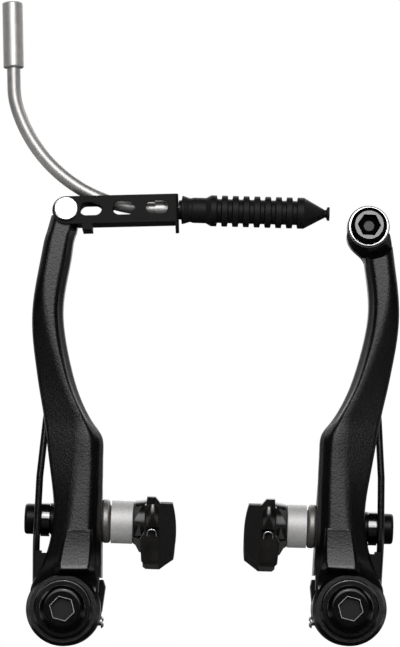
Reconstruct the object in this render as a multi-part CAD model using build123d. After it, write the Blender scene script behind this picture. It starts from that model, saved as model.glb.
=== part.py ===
from build123d import *
import math
import os

# A rim brake with two long arms, seen from the front: X to the viewer's right, Y away, Z up.
# The origin is midway between the two frame bosses, on the plane of their shoulders.

os.makedirs("parts", exist_ok=True)

# Frame bosses and pivots
boss_spacing = 80.0
pivot_x = boss_spacing / 2
boss_hole_r = 4.05
right_swing = 3.7
running_gap = 0.06
face_gap = 0.3

# Spring case
case_r = 10.4
case_depth = 7.6
case_floor = 2.0
case_wall = 1.0
case_core_r = 6.3
case_window_z0 = -1.5
case_window_z1 = 9.0
case_lobe_z = (-0.8, 6.3, 8.2)
left_lobe_u = (10.5, 11.5, 10.9)
right_lobe_u = (10.0, 10.6, 10.2)
stop_pin_r = 1.2
stop_pin_root_r = 1.5
stop_pin_out = 4.5
stop_pin_edge = 0.4
stop_pin_u = (case_core_r + case_r - case_wall) / 2

# Pivot bush, washer and bolt
bush_r = 5.5
bush_bore_r = 4.3
boss_r = 10.4
boss_back = -case_depth - face_gap
boss_front = -15.5
boss_bevel = 1.0
bush_front = boss_front - 0.5
flange_r = 8.25
flange_t = 1.5
head_r = 6.5
head_t = 3.0
head_round = 1.7
head_hex = 6.0
head_hex_turn = 15.0
head_hex_depth = 2.4
bolt_r = 3.0
bolt_tip = -case_depth - 0.6

# Return spring
wire_r = 1.0
coil_r = 8.0
coil_pitch = 2.05
coil_half_turns = 3
coil_front = -6.35
leg_bend = 14.0
leg_points = [
    (-coil_r, coil_front, 0.0),
    (-coil_r, coil_front, 8.5),
    (-7.65, -12.8, 19.0),
    (-6.75, -13.0, 37.0),
    (-4.85, -13.0, 54.5),
    (-1.9, -13.0, 63.0),
]
peg_r = 1.25
peg_back = -11.4
peg_front = -16.2

# Spring pocket in the back of the arm
pocket_front = -14.2
pocket_z0 = 41.0
pocket_z1 = 66.0
pocket_inner = 1.0

# Tension screw
screw_z = -3.7
screw_y = -3.6
screw_head_r = 1.7
screw_head_u = 11.0
screw_head_edge = 0.5
screw_shank_r = 1.0
screw_slot = 0.6

# Arm sections: height, outer edge, inner edge, band from, band to, front, outer drop, inner drop
arm_sections = [
    (4.5, -9.2, 9.85, -2.8, 4.5, -14.7, 0.3, 0.35),
    (8.5, -7.9, 10.1, -2.2, 6.2, -15.1, 0.4, 0.5),
    (13.0, -5.6, 10.3, -1.0, 7.1, -17.2, 1.5, 1.8),
    (18.0, -4.0, 10.45, 0.5, 7.3, -17.5, 1.6, 2.2),
    (26.0, -2.75, 10.7, 2.2, 7.6, -17.6, 1.6, 2.2),
    (36.0, -3.4, 11.0, 3.7, 8.1, -17.8, 1.6, 2.2),
    (44.0, -4.4, 11.1, 4.7, 8.2, -18.0, 1.6, 2.2),
    (48.5, -4.9, 10.6, 4.6, 7.7, -18.1, 1.6, 2.1),
    (51.5, -5.3, 8.6, 4.2, 6.5, -18.1, 1.6, 2.0),
    (55.0, -5.8, 6.5, 3.2, 4.9, -18.2, 1.6, 1.9),
    (61.0, -6.85, 3.9, 0.7, 2.2, -18.2, 1.6, 1.8),
    (68.0, -7.9, 1.9, -1.7, 0.1, -18.2, 1.6, 1.7),
    (76.0, -8.85, 0.3, -4.2, -1.5, -18.2, 1.5, 1.6),
    (84.0, -8.95, -0.35, -6.0, -2.1, -18.2, 1.3, 1.5),
    (92.0, -7.9, 0.6, -6.2, -1.2, -18.2, 1.1, 1.4),
    (100.0, -6.4, 2.05, -4.9, 0.3, -18.2, 1.0, 1.3),
    (106.0, -4.95, 3.35, -3.5, 1.7, -18.2, 1.0, 1.2),
]
arm_top_section = (110.5, -3.7, 4.2, -2.3, 2.7, -18.2, 1.0, 1.2)
arm_back_low = -12.0
arm_back_high = -10.8
arm_back_z0 = 46.0
arm_back_z1 = 66.0
edge_out = 0.6
edge_in = 1.2
edge_steep = math.tan(math.radians(60.0))
edge_depth = 5.2
edge_round = 0.35
band_round_out = 1.4
band_round_in = 1.2

# Brow on the arm over the pivot
brow_z0 = 9.1
brow_z1 = 23.0
brow_low = [-1.7, 7.5]
brow_high = [1.6, 7.5]
brow_root = -15.6
brow_front = -17.5
brow_nose = (-18.7, 11.3)
brow_round = 2.4
brow_flare = 1.3
brow_slope = 26.0
brow_soft = 0.6

# Slotted block that carries the shoe
block_z0 = 8.8
block_z1 = 40.0
block_back = -0.5
block_ramp = 7.0
seat_out = -2.6
seat_in = 10.6
stud_y = -6.5
slot_w = 6.6
slot_z0 = 16.5
slot_z1 = 32.5

# Shoe hardware, measured along the stud from the pivot
left_stud_z = 24.7
right_stud_z = 22.5
stud_tilt = 2.1
stud_r = 3.0
washer_bore_r = 3.25
tilt_centre_in = 9.0
dome_r = 6.15
dome_t = 2.3
dome_edge = 0.8
nose_r = 4.7
cup_gap = 0.35
ball_ease = 0.01
cup_r = 6.05
left_cup_end = 19.4
right_cup_end = 18.7
cup_edge = 0.3
outer_r = 4.8
outer_dome_t = 1.2
outer_nose_r = 4.2
tilt_centre_out = 0.6
outer_cup_end = -6.6
nut_r = 4.3
nut_end = -11.2
nut_round = 0.8
nut_hex = 5.0
nut_hex_depth = 3.0

# Shoe
hub_t = 3.4
hub_r0 = 6.2
hub_r1 = 6.7
hub_edge = 0.5
hub_core = 4.6
hub_pockets = [
    [(0.35, 4.3), (2.5, 4.6), (0.3, 0.2)],
    [(1.7, 0.2), (0.6, -3.9), (2.5, -3.8)],
]
hub_foot = [(0.3, -5.4), (1.9, -8.2), (3.8, -8.2), (3.8, -3.0), (0.3, -3.0)]
hub_foot_w = 9.0
holder_t = 4.2
holder_foot = 1.0
holder_foot_z = -4.5
pad_t = 4.2
shoe_len = 70.0
rim_r = 300.0
shoe_top = 5.6
shoe_bottom = -11.0
shoe_pitch = -1.0
shoe_yaw = 0.7
groove_t = 2.4
groove_z0 = -6.5
groove_z1 = 1.0
groove_stop = 6.0
pad_chamfer_t = 4.0
pad_chamfer_z = 4.3
pad_bulge = 0.9
far_cut_len = 9.0
far_cut_h = 4.5
end_lug_len = 5.0
end_lug_top = 1.65
end_lug_slope = 1.4
end_nose_r = 2.3
end_nose_tip_r = 1.7
end_nose_out = 1.0
end_nose_top = 0.3
end_recess_z0 = -3.4
end_recess_z1 = -0.85
end_recess_depth = 1.6
end_block_w = 2.8
end_block_out = 0.5
end_block_z0 = -10.0
end_block_line = -6.7
end_line_w = 0.22
pin_wire_r = 0.34
pin_half = 1.3
pin_leg = 1.35

# Link and its pin, along the link from the pin's axis
link_pin_u = 0.6
link_pin_z = 111.9
link_y = -14.5
link_lift = 1.4
link_sheet = 1.0
link_inner_w = 8.0
link_h = 7.8
link_sink = 0.3
link_len = 31.6
link_web_from = 4.4
link_tab_len = 2.8
link_tab_drop = 1.7
link_end_drop = 2.2
link_bend = 0.9
window_first = 6.85
window_last = 6.1
window_rise = 0.25
window_pitch = (link_len - window_first - window_last) / 2
window_len = 6.3
window_h = 3.8
tongue_r = 3.5
pin_r = 2.0
pin_head_r = 3.35
pin_head_t = 1.0

# Lead pipe and boot
pipe_r = 1.9
pipe_bore_r = 1.35
liner_bore_r = 0.95
pipe_bend_r = 41.0
pipe_bend_x = 26.0
pipe_end_bend_r = 21.0
pipe_end_turn = 15.0
pipe_rise = 49.3
ferrule_r = 2.9
ferrule_z0 = 41.5
ferrule_z1 = 60.3
ferrule_bore_r = 2.55
ferrule_bore = 10.0
ferrule_edge = 0.4
tip_r = 2.6
tip_x0 = 25.0
tip_nose_r = 2.0
tip_nose_x = 38.5
boot_x0 = link_len + 0.9
boot_drop = 0.4
boot_droop = 3.0
boot_bore_r = 2.0
boot_lip_r = 2.75
boot_lip = 0.7
boot_rib_r = 4.4
boot_groove_r = 3.4
boot_rib_w = 1.75
boot_rib_pitch = 3.05
boot_rib_from = 8.3
boot_ribs = 9
boot_collar_r = 4.0
boot_neck_r = 3.6
boot_cone_len = 6.0
boot_tip_r = 1.1
boot_tip_bore_r = 0.8
boot_disc_r = 1.95
boot_disc_w = 0.6

# Cable anchor on the right arm
anchor_u = 1.1
anchor_z = 107.5
knuckle_r = 5.95
knuckle_front = -15.7
spot_r0 = 8.6
spot_r1 = 10.3
spot_slope = 2.2
anchor_washer_r = 5.5
anchor_washer_t = 1.2
anchor_head_r = 5.1
anchor_face_r = 4.0
anchor_head_t = 3.0
anchor_hex = 5.8
anchor_hex_depth = 2.1
anchor_bolt_r = 2.5
anchor_drill_r = 1.5
anchor_end = -9.6


# Shapes used again and again
def rod_x(r, x0, x1, y=0.0, z=0.0):
    return Pos((x0 + x1) / 2, y, z) * Rot(0, 90, 0) * Cylinder(r, x1 - x0)


def rod_y(r, y0, y1, x=0.0, z=0.0):
    return Pos(x, (y0 + y1) / 2, z) * Rot(90, 0, 0) * Cylinder(r, y1 - y0)


def block(x0, x1, y0, y1, z0, z1):
    return Pos((x0 + x1) / 2, (y0 + y1) / 2, (z0 + z1) / 2) * Box(x1 - x0, y1 - y0, z1 - z0)


def turned(points):
    profile = Plane.XZ * make_face(Polyline(*points, close=True))
    return revolve(profile, Axis.X)


def hex_y(across, y0, y1, x=0.0, z=0.0, turn=0.0):
    sketch = RegularPolygon(across / 2, 6, major_radius=False, rotation=-turn)
    return Pos(x, y1, z) * extrude(Plane.XZ * sketch, y1 - y0)


def on_left(shape):
    return Pos(-pivot_x, 0, 0) * shape


def on_right(shape, swing=0.0):
    return Pos(pivot_x, 0, 0) * Rot(0, swing, 0) * mirror(shape, about=Plane.YZ)


# Arm
def arm_back(z):
    share = (z - arm_back_z0) / (arm_back_z1 - arm_back_z0)
    share = min(max(share, 0.0), 1.0)
    return arm_back_low + (arm_back_high - arm_back_low) * share


def toward(a, b, distance):
    share = distance / math.dist(a, b)
    return (a[0] + (b[0] - a[0]) * share, a[1] + (b[1] - a[1]) * share)


def rounded_face(corners):
    points = [point for point, cut in corners]
    count = len(points)
    shares = []
    for n in range(count):
        room = math.dist(points[n], points[(n + 1) % count])
        wanted = corners[n][1] + corners[(n + 1) % count][1]
        shares.append(min(1.0, 0.9 * room / wanted) if wanted else 1.0)
    outline = []
    last = None
    first = None
    for n in range(count):
        point, cut = corners[n]
        cut *= min(shares[n - 1], shares[n])
        into = toward(point, points[n - 1], cut)
        out = toward(point, points[(n + 1) % count], cut)
        first = first or into
        if last:
            outline.append(Line(last, into))
        if cut:
            along = (point[0] - into[0], point[1] - into[1])
            outline.append(TangentArc(into, out, tangent=along))
        last = out
    outline.append(Line(last, first))
    return make_face(Wire([part.edge() for part in outline]))


def arm_section(row):
    z, outer, inner, band0, band1, front, drop0, drop1 = row
    back = arm_back(z)
    share = min(1.0, (back - front) / edge_depth)
    out, into = edge_out * share, edge_in * share
    step = drop1 * 0.8
    corners = [
        ((outer, back), 0.0),
        ((outer, front + drop0 + out * edge_steep), edge_round),
        ((outer + out, front + drop0), edge_round),
        ((band0, front), band_round_out),
        ((band1, front), band_round_in),
        ((inner - into, front + step), edge_round),
        ((inner, front + step + into * edge_steep), edge_round),
        ((inner, back), 0.0),
    ]
    return Plane.XY.offset(z) * rounded_face(corners)


def make_brow():
    low, high = brow_low, brow_high
    spread = brow_flare
    corners = [
        ((high[0] - spread, brow_z1), 0.0),
        ((low[0] - spread, brow_z0), brow_round),
        ((low[1] + spread, brow_z0), brow_round),
        ((high[1] + spread, brow_z1), 0.0),
    ]
    base = Plane.XZ.offset(-brow_root) * rounded_face(corners)
    brow = extrude(base, brow_root - brow_nose[0] + 1.0, taper=brow_slope)
    over = Line((brow_front, brow_z1), (brow_front, brow_z1 - 2.0))
    over += TangentArc((brow_front, brow_z1 - 2.0), brow_nose, tangent=(0, -1))
    chin = (brow_root, brow_z0 - 0.2)
    over += TangentArc(brow_nose, (brow_nose[0] + 1.2, brow_z0 + 0.9), tangent=over % 1)
    over += Polyline((brow_nose[0] + 1.2, brow_z0 + 0.9), chin, (brow_root, brow_z1), (brow_front, brow_z1))
    side = Plane.YZ * make_face(over)
    brow &= extrude(side, 30, both=True)
    ahead, below = brow_front + 0.5, brow_z1 - 0.5
    edges = brow.edges().filter_by(lambda edge: edge.center().Y < ahead and edge.center().Z < below)
    return fillet(edges, brow_soft)


def arm_common():
    shell = loft([arm_section(row).face() for row in arm_sections])
    rim_y = boss_front + boss_bevel * edge_steep
    boss_side = [(boss_r, boss_back), (boss_r, rim_y), (boss_r - boss_bevel, boss_front)]
    boss_face = make_face(Polyline((0, boss_back), *boss_side, (0, boss_front), close=True))
    boss = revolve(boss_face, Axis.Y)
    carrier = block(seat_out, seat_in, arm_back_low - 1.5, block_back, block_z0, block_z1)
    carrier = chamfer(carrier.edges().group_by(Axis.Z)[-1].sort_by(Axis.Y)[-1], block_ramp)
    arm = shell + boss + carrier + make_brow()
    clearance_r = case_r + 0.5
    arm -= rod_y(clearance_r, boss_back, 1.0)
    arm -= rod_y(bush_r + running_gap, boss_front - 1.0, boss_back + 1.0)
    slot_mid = (slot_z0 + slot_z1) / 2
    slot = Plane.YZ * Pos(stud_y, slot_mid) * Rot(0, 0, 90) * SlotOverall(slot_z1 - slot_z0, slot_w)
    arm -= Pos(-15, 0, 0) * extrude(slot, 30)
    spot_y = stud_y - outer_r - 0.5
    arm -= block(-15.0, seat_out, spot_y, 1.0, slot_z0 - 2.5, slot_z1 + 2.5)
    spot_y = stud_y - dome_r - 0.3
    arm -= block(seat_in, 15.0, spot_y, 1.0, slot_z0 - 4.0, slot_z1 + 4.0)
    arm -= block(-15.0, pocket_inner, pocket_front, 1.0, pocket_z0, pocket_z1)
    return arm


def make_left_arm():
    top = loft([arm_section(arm_sections[-1]).face(), arm_section(arm_top_section).face()])
    arm = arm_common() + top
    tongue_front = link_y - link_inner_w / 2 + face_gap
    tongue_back = link_y + link_inner_w / 2 - face_gap
    arm += rod_y(tongue_r, tongue_front, tongue_back, link_pin_u, link_pin_z)
    arm -= rod_y(pin_r + running_gap, -30.0, 0.0, link_pin_u, link_pin_z)
    return arm


def make_right_arm():
    arm = arm_common()
    side = (anchor_u + 5.8, anchor_z - 1.5)
    foot = (0.4, arm_sections[-3][0] + 1.2)
    neck_top = [side, (anchor_u + 5.1, anchor_z - 5.3), (anchor_u + 3.35, anchor_z - 7.2)]
    neck_low = [(anchor_u + 1.5, anchor_z - 8.7), (anchor_u + 0.3, anchor_z - 10.6), foot]
    neck = Spline(*neck_top, *neck_low)
    closing = Polyline(foot, (-4.0, foot[1]), (-4.0, anchor_z - 0.8), side)
    neck_face = Plane.XZ * make_face(neck + closing)
    arm += Pos(0, arm_back_high, 0) * extrude(neck_face, arm_back_high - knuckle_front)
    arm += rod_y(knuckle_r, knuckle_front, arm_back_high, anchor_u, anchor_z)
    spot_depth = 4.0
    spot = Cone(spot_r0, spot_r1, spot_depth)
    arm -= Pos(anchor_u, knuckle_front - spot_depth / 2, anchor_z) * Rot(90, 0, 0) * spot
    low = knuckle_front + spot_slope
    ring = Polyline((knuckle_r, knuckle_front - 0.5), (knuckle_r, knuckle_front), (spot_r0 + 0.5, low),
                    (spot_r0 + 0.5, knuckle_front - 0.5), close=True)
    arm -= Pos(anchor_u, 0, anchor_z) * revolve(make_face(ring), Axis.Y)
    arm -= rod_y(anchor_bolt_r, -30.0, 0.0, anchor_u, anchor_z)
    return arm


# Pieces at the pivot that stay with the frame
def make_case(lobe_u):
    case = rod_y(case_r, -case_depth, 0.0)
    case = fillet(case.edges().group_by(Axis.Y)[-1], 0.6)
    lobe = [(4.0, case_lobe_z[0])] + list(zip(lobe_u, case_lobe_z)) + [(4.0, case_lobe_z[-1])]
    case += extrude(Plane.XZ * make_face(Polyline(*lobe, close=True)), case_depth)
    cavity = rod_y(case_r - case_wall, -case_depth - 1.0, -case_floor)
    cavity -= rod_y(case_core_r, -case_depth - 2.0, 1.0)
    case -= cavity
    case -= block(-15.0, -3.5, -case_depth - 1.0, -case_floor, case_window_z0, case_window_z1)
    case -= rod_y(boss_hole_r, -case_depth - 1.0, 1.0)
    case -= rod_y(stop_pin_root_r, -case_floor, 1.0, stop_pin_u, 0.0)
    case -= rod_x(screw_shank_r, case_r - 3.0, case_r + 2.0, screw_y, screw_z)
    return case


def make_bush():
    return rod_y(bush_r, bush_front, -case_depth) - rod_y(bush_bore_r, bush_front - 1.0, 0.0)


def make_flange():
    front = bush_front - flange_t
    flange = rod_y(flange_r, front, bush_front)
    flange = fillet(flange.edges().group_by(Axis.Y)[0], 0.6)
    return flange - rod_y(bolt_r, front - 1.0, 0.0)


def make_pivot_bolt(turn):
    under = bush_front - flange_t
    front = under - head_t
    head = rod_y(head_r, front, under)
    head = fillet(head.edges().group_by(Axis.Y)[0], head_round)
    head -= hex_y(head_hex, front - 1.0, front + head_hex_depth, turn=turn)
    return head + rod_y(bolt_r, under, bolt_tip)


def make_stop_pin():
    pin = rod_y(stop_pin_r, 0.0, stop_pin_out, stop_pin_u, 0.0)
    pin = chamfer(pin.edges().group_by(Axis.Y)[-1], stop_pin_edge)
    return pin + rod_y(stop_pin_root_r, -case_floor, 0.0, stop_pin_u, 0.0)


def make_tension_screw():
    seat = math.sqrt(case_r ** 2 - screw_z ** 2)
    head = rod_x(screw_head_r, seat + 0.5, screw_head_u, screw_y, screw_z)
    head = chamfer(head.edges().group_by(Axis.X)[-1], screw_head_edge)
    slot_z = screw_z - screw_slot / 2
    head -= block(screw_head_u - 0.6, 20, screw_y - 3, screw_y + 3, slot_z, slot_z + screw_slot)
    shank_end = math.sqrt((case_r - case_wall) ** 2 - screw_z ** 2)
    return head + rod_x(screw_shank_r, shank_end, seat + 1.0, screw_y, screw_z)


# Return spring, its peg and its guide
leg_path = FilletPolyline(*leg_points, radius=leg_bend)


def coil_point(half_turns):
    way = -1 if half_turns % 2 == 0 else 1
    return (way * coil_r, coil_front + half_turns * coil_pitch / 2, 0.0)


def make_spring():
    turns = Curve()
    reach = math.hypot(coil_r, coil_pitch / 4)
    for n in reversed(range(coil_half_turns)):
        top = (0.0, coil_front + (n + 0.5) * coil_pitch / 2, reach if n % 2 else -reach)
        turns += ThreePointArc(coil_point(n + 1), top, coil_point(n))
    path = Wire(turns.edges() + leg_path.edges())
    start = Plane(origin=path @ 0, z_dir=path % 0)
    return sweep(start * Circle(wire_r), path=path)


def make_peg():
    at = leg_path @ 0.95
    along = leg_path % 0.95
    reach = wire_r + peg_r
    length = math.hypot(along.X, along.Z)
    peg_u = at.X - reach * along.Z / length
    peg_z = at.Z + reach * along.X / length
    return rod_y(peg_r, peg_front, peg_back, peg_u, peg_z)


def make_guide(arm, spring):
    outline = [(-7.9, 8.8), (-7.9, 16.3), (-6.2, 16.3), (-6.2, 15.6), (-3.0, 15.6), (-5.0, 10.0)]
    sketch = Plane.XZ * make_face(Polyline(*outline, close=True))
    guide = Pos(0, -9.0, 0) * extrude(sketch, 5.5)
    guide -= arm
    guide -= spring
    return guide.solids().sort_by(SortBy.VOLUME)[-1]


# Washers with a spherical face, turned about the stud
def turned_ball(lines, ball_arc):
    return revolve(Plane.XZ * make_face(lines + ball_arc), Axis.X)


def ball_point(x_centre, ball, r, way):
    return (x_centre + way * math.sqrt(ball ** 2 - r ** 2), r)


def ball_washer(flat, top, r, nose, x_centre, ball, bore):
    way = 1 if top > flat else -1
    inner = ball_point(x_centre, ball, bore, way)
    lines = Polyline((top, nose), (top, r), (flat, r), (flat, bore), inner)
    arc = ThreePointArc(inner, ball_point(x_centre, ball, (bore + nose) / 2, way), (top, nose))
    return turned_ball(lines, arc)


def cup_washer(rim, end, r, x_centre, ball):
    way = 1 if end > rim else -1
    inner = ball_point(x_centre, ball, washer_bore_r, way)
    rim_r = math.sqrt(ball ** 2 - (rim - x_centre) ** 2)
    lines = Polyline((rim, rim_r), (rim, r), (end, r), (end, washer_bore_r), inner)
    arc = ThreePointArc(inner, ball_point(x_centre, ball, (washer_bore_r + rim_r) / 2, way), (rim, rim_r))
    return turned_ball(lines, arc)


# Shoe, on a stud that tilts in the spherical washers
def make_shoe(stud_z, cup_end):
    centre = (tilt_centre_in, stud_y, stud_z)
    lean = Pos(*centre) * Rot(0, stud_tilt, 0) * Pos(-tilt_centre_in, 0, 0)
    rise = (tilt_centre_in - tilt_centre_out) * math.tan(math.radians(stud_tilt))

    dome_top = seat_in + dome_t
    ball = math.hypot(dome_top - tilt_centre_in, nose_r)
    dome = ball_washer(seat_in, dome_top, dome_r, nose_r, tilt_centre_in, ball, washer_bore_r + 0.5)
    dome = fillet(dome.edges().filter_by(GeomType.CIRCLE).sort_by(SortBy.RADIUS)[-2:], dome_edge)
    dome = Pos(0, stud_y, stud_z) * dome
    cup = cup_washer(dome_top + cup_gap, cup_end, cup_r, tilt_centre_in, ball + ball_ease)
    cup = fillet(cup.edges().filter_by(GeomType.CIRCLE).sort_by(SortBy.RADIUS)[-2:], cup_edge)

    outer_top = seat_out - outer_dome_t
    ball = math.hypot(outer_top - tilt_centre_out, outer_nose_r)
    outer_bore = washer_bore_r + 0.3
    outer_dome = ball_washer(seat_out, outer_top, outer_r, outer_nose_r, tilt_centre_out, ball, outer_bore)
    outer_dome = Pos(0, stud_y, stud_z + rise) * outer_dome
    outer_cup = cup_washer(outer_top - cup_gap, outer_cup_end, outer_r, tilt_centre_out, ball + ball_ease)

    nut = rod_x(nut_r, nut_end, outer_cup_end)
    nut = fillet(nut.edges().group_by(Axis.X)[0], nut_round)
    socket = Plane.YZ * RegularPolygon(nut_hex / 2, 6, major_radius=False)
    nut -= Pos(nut_end - 1.0, 0, 0) * extrude(socket, nut_hex_depth + 1.0)
    nut -= rod_x(stud_r, nut_end, 10.0)
    stud = rod_x(stud_r, nut_end + nut_hex_depth + 0.4, cup_end + hub_t + 1.0)

    hub_end = hub_t + 0.5
    hub = turned([(0, 0), (0, hub_r0 - hub_edge), (hub_edge, hub_r0), (hub_end, hub_r1), (hub_end, 0)])
    foot = Plane.XZ * make_face(Polyline(*hub_foot, close=True))
    hub += extrude(foot, hub_foot_w / 2, both=True)
    for outline in hub_pockets:
        pocket = extrude(Plane.XZ * make_face(Polyline(*outline, close=True)), 10.0)
        hub -= Pos(0, -hub_core, 0) * pocket
        hub -= Pos(0, hub_core + 10.0, 0) * pocket
    hub = Pos(cup_end, 0, 0) * hub

    back = cup_end + hub_t
    face = back + holder_t
    sweep_deg = math.degrees(shoe_len / rim_r)
    rim_axis = Axis((0, 0, -rim_r), (1, 0, 0))

    def along_rim(sketch, skip=0.0):
        start = -sweep_deg / 2 + math.degrees(skip / rim_r)
        profile = (Plane.XZ * sketch).rotate(rim_axis, start)
        return revolve(profile, rim_axis, sweep_deg / 2 - start)

    def at_near_end(shape):
        return shape.rotate(rim_axis, sweep_deg / 2)

    def rect(x0, x1, z0, z1):
        return Pos((x0 + x1) / 2, (z0 + z1) / 2) * Rectangle(x1 - x0, z1 - z0)

    def at_far_end(shape):
        return shape.rotate(rim_axis, -sweep_deg / 2)

    section = [
        (back + 0.8, shoe_top),
        (back, shoe_top - 0.8),
        (back, holder_foot_z + 2.0),
        (back - holder_foot, holder_foot_z),
        (back - holder_foot / 2, shoe_bottom + 0.8),
        (back + 0.3, shoe_bottom),
        (face, shoe_bottom),
        (face, shoe_top),
    ]
    groove = rect(face - groove_t, face + 1.0, groove_z0, groove_z1)
    holder = along_rim(make_face(Polyline(*section, close=True)))
    lug_z = shoe_top + end_lug_top
    lug_outline = [
        (back + 0.2, shoe_top - 3.0),
        (back + 0.5, lug_z),
        (face - end_lug_slope, lug_z),
        (face, shoe_top),
        (face, shoe_top - 3.0),
    ]
    lug_face = Plane.XZ * make_face(Polyline(*lug_outline, close=True))
    lug = Pos(0, end_lug_len, 0) * extrude(lug_face, end_lug_len)
    mid = (back + face) / 2
    nose_y = end_nose_r - end_nose_out
    nose_low, nose_high = end_recess_z1, shoe_top - end_nose_top
    barrel = Polyline((end_nose_tip_r, nose_low), (0, nose_low), (0, nose_high), (end_nose_tip_r, nose_high))
    nose_mid = (end_nose_r, (nose_low + nose_high) / 2)
    barrel += ThreePointArc((end_nose_tip_r, nose_low), nose_mid, (end_nose_tip_r, nose_high))
    end_nose = Pos(mid, nose_y, 0) * revolve(Plane.XZ * make_face(barrel), Axis.Z)
    end_nose &= block(back, face, -5.0, 5.0, -5.0, 10.0)
    tread = block(face - end_block_w, face, -end_block_out, 1.0, end_block_z0, end_recess_z0)
    line_y = end_line_w - end_block_out
    tread -= block(back, face + 1.0, -2.0, line_y, end_block_line, end_block_line + end_line_w)
    holder += at_near_end(lug)
    holder += at_near_end(end_nose)
    holder += at_near_end(tread)
    holder -= along_rim(groove, groove_stop)
    recess = block(back + 0.45, face - 0.15, -3.0, end_recess_depth, end_recess_z0, end_recess_z1)
    holder -= at_near_end(recess)
    far_low = shoe_bottom - 2.0
    far_high = shoe_bottom + far_cut_h
    far_outline = [(-far_cut_len, shoe_bottom), (0.0, far_high), (2.0, far_high)]
    far_outline += [(2.0, far_low), (-far_cut_len, far_low)]
    far_face = Plane.YZ * make_face(Polyline(*far_outline, close=True))
    far_cut = Pos(back - 5.0, 0, 0) * extrude(far_face, 25.0)
    holder -= at_far_end(far_cut)

    pad_face = face + pad_t
    outline = Polyline(
        (face, shoe_top),
        (face, shoe_bottom),
        (pad_face - pad_chamfer_t, shoe_bottom),
        (pad_face, shoe_bottom + pad_chamfer_z),
    )
    bulge_low = shoe_bottom + pad_chamfer_z
    bulge_mid = (pad_face + 0.25, (shoe_top + bulge_low) / 2)
    bulge = ThreePointArc((pad_face, bulge_low), bulge_mid, (pad_face - pad_bulge, shoe_top))
    top = Line((pad_face - pad_bulge, shoe_top), (face, shoe_top))
    pad = along_rim(make_face(outline + bulge + top))
    tongue = rect(face - groove_t, face + 0.5, groove_z0, groove_z1)
    pad += along_rim(tongue, groove_stop)
    pad -= at_near_end(recess)
    pad -= at_far_end(far_cut)

    pin_mid = mid
    pin_top = end_recess_z1 - pin_wire_r - 0.4
    arch = Line((-pin_half, -pin_leg), (-pin_half, -pin_half))
    arch += ThreePointArc((-pin_half, -pin_half), (0, 0), (pin_half, -pin_half))
    arch += Line((pin_half, -pin_half), (pin_half, -pin_leg))
    pin_path = Wire((Pos(pin_mid, 0, pin_top) * (Plane.XZ * arch)).edges())
    pin_start = Plane(origin=pin_path @ 0, z_dir=pin_path % 0)
    pin = sweep(pin_start * Circle(pin_wire_r), path=pin_path)
    leg_drop = pin_top - pin_leg - end_recess_z0
    for side in (-1, 1):
        foot = Pos(pin_mid + side * pin_half, 0, pin_top - pin_leg - leg_drop / 2)
        pin += foot * Cylinder(pin_wire_r, leg_drop + 0.02)
    pin = Pos(0, end_recess_depth / 2, 0) * pin
    pin = at_near_end(pin)

    adjust = Pos(cup_end + hub_t, 0, 0) * Rot(shoe_pitch, 0, shoe_yaw) * Pos(-cup_end - hub_t, 0, 0)
    holder = hub + adjust * holder
    holder -= rod_x(stud_r, 0.0, cup_end + hub_t + 1.0)

    return {
        "inner_dome_washer": dome,
        "inner_cup_spacer": lean * cup,
        "outer_dome_washer": outer_dome,
        "outer_cup_washer": lean * outer_cup,
        "shoe_nut": lean * nut,
        "shoe_stud": lean * stud,
        "shoe_holder": lean * holder,
        "brake_pad": lean * (adjust * pad),
        "pad_pin": lean * (adjust * pin),
    }


# Link, lead pipe and boot, built along the link from its pin
def make_link():
    half = link_inner_w / 2 + link_sheet
    low = -link_h / 2
    link = rod_y(link_h / 2, -half, half) + block(0, link_len, -half, half, low, -low)
    link -= block(-20, link_len - link_sheet, -half + link_sheet, half - link_sheet, -20, 20)
    web = low + link_sheet
    link += block(link_web_from, link_len, -half, half, low, web)
    link += block(link_web_from, link_web_from + link_tab_len, -half, half, low - link_tab_drop, web)
    link += block(link_len - link_sheet, link_len, -half, half, low - link_end_drop, -low)
    link = fillet(link.edges().filter_by(Axis.Z).group_by(Axis.X)[-1], link_bend)
    window = Rot(90, 0, 0) * extrude(SlotOverall(window_len, window_h), 20, both=True)
    for n in range(3):
        link -= Pos(window_first + n * window_pitch, 0, window_rise) * window
    link = Pos(0, 0, -link_sink) * link
    link -= rod_x(tip_nose_r, link_len - 3.0, link_len + 1.0)
    return link - rod_y(pin_r, -half - 1.0, half + 1.0)


def make_link_pin():
    half = link_inner_w / 2 + link_sheet
    pin = rod_y(pin_r, -half, half)
    front = rod_y(pin_head_r, -half - pin_head_t, -half)
    front = fillet(front.edges().group_by(Axis.Y)[0], 0.4)
    back = rod_y(pin_head_r, half, half + pin_head_t * 0.7)
    return pin + front + back


pipe_turn = 90.0 - pipe_end_turn
pipe_end_x = pipe_bend_x - (pipe_bend_r - pipe_end_bend_r) * math.sin(math.radians(pipe_turn))
pipe_end_z = pipe_bend_r - (pipe_bend_r - pipe_end_bend_r) * math.cos(math.radians(pipe_turn))
pipe_leg_x = pipe_end_x - pipe_end_bend_r


def pipe_run(x_from, z_to):
    run = Line((x_from, 0), (pipe_bend_x, 0))
    run += CenterArc((pipe_bend_x, pipe_bend_r), pipe_bend_r, -90, -pipe_turn)
    run += CenterArc((pipe_end_x, pipe_end_z), pipe_end_bend_r, -90 - pipe_turn, -pipe_end_turn)
    run += Line((pipe_leg_x, pipe_end_z), (pipe_leg_x, z_to))
    return Wire((Plane.XZ * run).edges())


def make_pipe(r_out, r_in, x_from, z_to):
    path = pipe_run(x_from, z_to)
    start = Plane(origin=path @ 0, z_dir=path % 0)
    return sweep(start * (Circle(r_out) - Circle(r_in)), path=path)


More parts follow.
